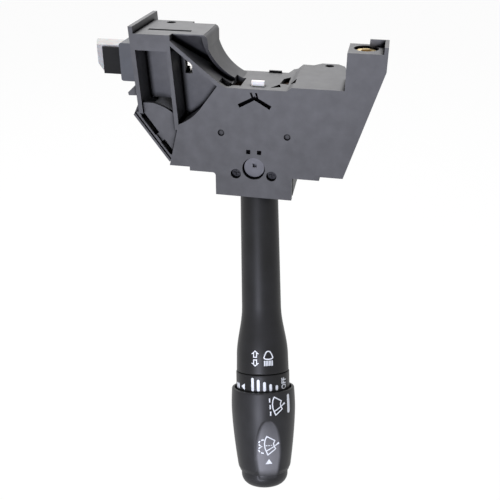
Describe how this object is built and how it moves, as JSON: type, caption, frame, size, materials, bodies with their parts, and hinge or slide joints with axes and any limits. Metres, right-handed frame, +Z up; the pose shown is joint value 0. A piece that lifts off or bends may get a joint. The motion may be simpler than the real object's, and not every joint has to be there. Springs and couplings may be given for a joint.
{
  "type": "combination stalk switch",
  "caption": "Steering-column combination switch: moulded housing with saddle, turn, dip and wiper lever with rotary knob and washer button, and a hazard push button.",
  "frame": {"origin": "middle of the brass insert's top face in the right post", "axes": "+X to the right as the driver sees it, +Y away from the driver, +Z up along the insert"},
  "size_m": [0.1494, 0.1135, 0.2353],
  "materials": {
    "housing_nylon": "moulded glass-filled nylon, slate grey",
    "cover_nylon": "moulded glass-filled nylon, dark grey",
    "guide_nylon": "moulded nylon, blue grey",
    "zinc_steel": "zinc-plated steel",
    "spring_steel": "bright spring steel",
    "brass": "turned brass",
    "tinned_brass": "tin-plated brass",
    "copper": "phosphor-bronze spring strip",
    "phenolic_board": "phenolic laminate",
    "black_acetal": "moulded black acetal",
    "grey_acetal": "moulded grey acetal",
    "natural_acetal": "moulded natural acetal",
    "lever_nylon": "moulded glass-filled nylon, black",
    "stalk_abs": "fine-grained black ABS",
    "knob_abs": "fine-grained black ABS",
    "black_abs": "coarse-grained black ABS",
    "light_grey_pc": "light grey polycarbonate",
    "lead_pvc": "PVC lead insulation"
  },
  "bodies": {
    "housing": {"housing": "housing_nylon", "rear_cover": "cover_nylon", "cover_screws": "zinc_steel", "post_insert": "brass", "front_bearing": "black_acetal", "bearing_screws": "zinc_steel", "contact_board": "phenolic_board", "board_contacts": "copper", "wide_connector_blades": "tinned_brass", "narrow_connector_blades": "tinned_brass", "detent_cam": "black_acetal", "hazard_guide": "guide_nylon", "pawl_frame": "grey_acetal", "bay_terminal": "tinned_brass", "hazard_spring": "spring_steel", "cancel_spring": "spring_steel"},
    "carrier": {"turn_carrier": "black_acetal", "beam_pin": "spring_steel", "detent_spring": "spring_steel"},
    "detent": {"detent_plunger": "natural_acetal"},
    "turn_slide": {"turn_slide": "natural_acetal", "slide_contacts": "copper"},
    "beam_slide": {"beam_slide": "natural_acetal"},
    "lever": {"lever_root": "lever_nylon", "stalk": "stalk_abs", "marker_ring": "stalk_abs", "stalk_tube": "zinc_steel", "stalk_leads": "lead_pvc", "wiper_board": "phenolic_board", "washer_contact": "copper", "knob_clip": "spring_steel", "washer_spring": "spring_steel"},
    "knob": {"wiper_knob": "knob_abs", "wiper_rotor": "copper", "knob_click_spring": "spring_steel"},
    "washer": {"washer_button": "knob_abs"},
    "hazard": {"hazard_plunger": "light_grey_pc", "hazard_cap": "black_abs", "hazard_contact": "copper"},
    "finger": {"cancel_finger": "natural_acetal"}
  },
  "joints": [
    {"name": "turn_signal", "type": "hinge", "parent": "housing", "child": "carrier", "pos_m": [-0.0516, -0.011, -0.06], "axis": [0, 1, 0], "range_deg": [-12, 12]},
    {"name": "detent", "type": "slide", "parent": "carrier", "child": "detent", "axis": [0, 0, 1], "range_m": [-0.0008, 0], "stiffness_N_per_m": 3000, "springref_m": 0.002, "deforming": ["detent_spring"]},
    {"name": "dip_beam", "type": "hinge", "parent": "carrier", "child": "lever", "pos_m": [-0.0516, 0.014, -0.06], "axis": [1, 0, 0], "range_deg": [-7, 7], "stiffness_Nm_per_rad": 4},
    {"name": "beam_slide", "type": "slide", "parent": "carrier", "child": "beam_slide", "axis": [0, 1, 0], "range_m": [-0.0013, 0.0013]},
    {"name": "turn_slide", "type": "slide", "parent": "housing", "child": "turn_slide", "axis": [1, 0, 0], "range_m": [-0.003, 0.003]},
    {"name": "wiper_knob", "type": "hinge", "parent": "lever", "child": "knob", "pos_m": [-0.0536, 0.014, -0.06], "axis": [0.1097, -0.4357, -0.8934], "range_deg": [0, 150]},
    {"name": "washer", "type": "slide", "parent": "knob", "child": "washer", "axis": [-0.1097, 0.4357, 0.8934], "range_m": [0, 0.0025], "stiffness_N_per_m": 1200, "springref_m": -0.002, "deforming": ["washer_spring"]},
    {"name": "hazard", "type": "slide", "parent": "housing", "child": "hazard", "axis": [1, 0, 0], "range_m": [0, 0.004], "stiffness_N_per_m": 1000, "springref_m": -0.002, "deforming": ["hazard_spring"]},
    {"name": "cancel_finger", "type": "slide", "parent": "housing", "child": "finger", "axis": [0, 0, 1], "range_m": [-0.003, 0], "stiffness_N_per_m": 500, "springref_m": 0.001, "deforming": ["cancel_spring"]}
  ],
  "couplings": [
    {"joint": "beam_slide", "follows": "dip_beam", "m_per_rad": -0.0094},
    {"joint": "turn_slide", "follows": "turn_signal", "m_per_rad": 0.014}
  ]
}
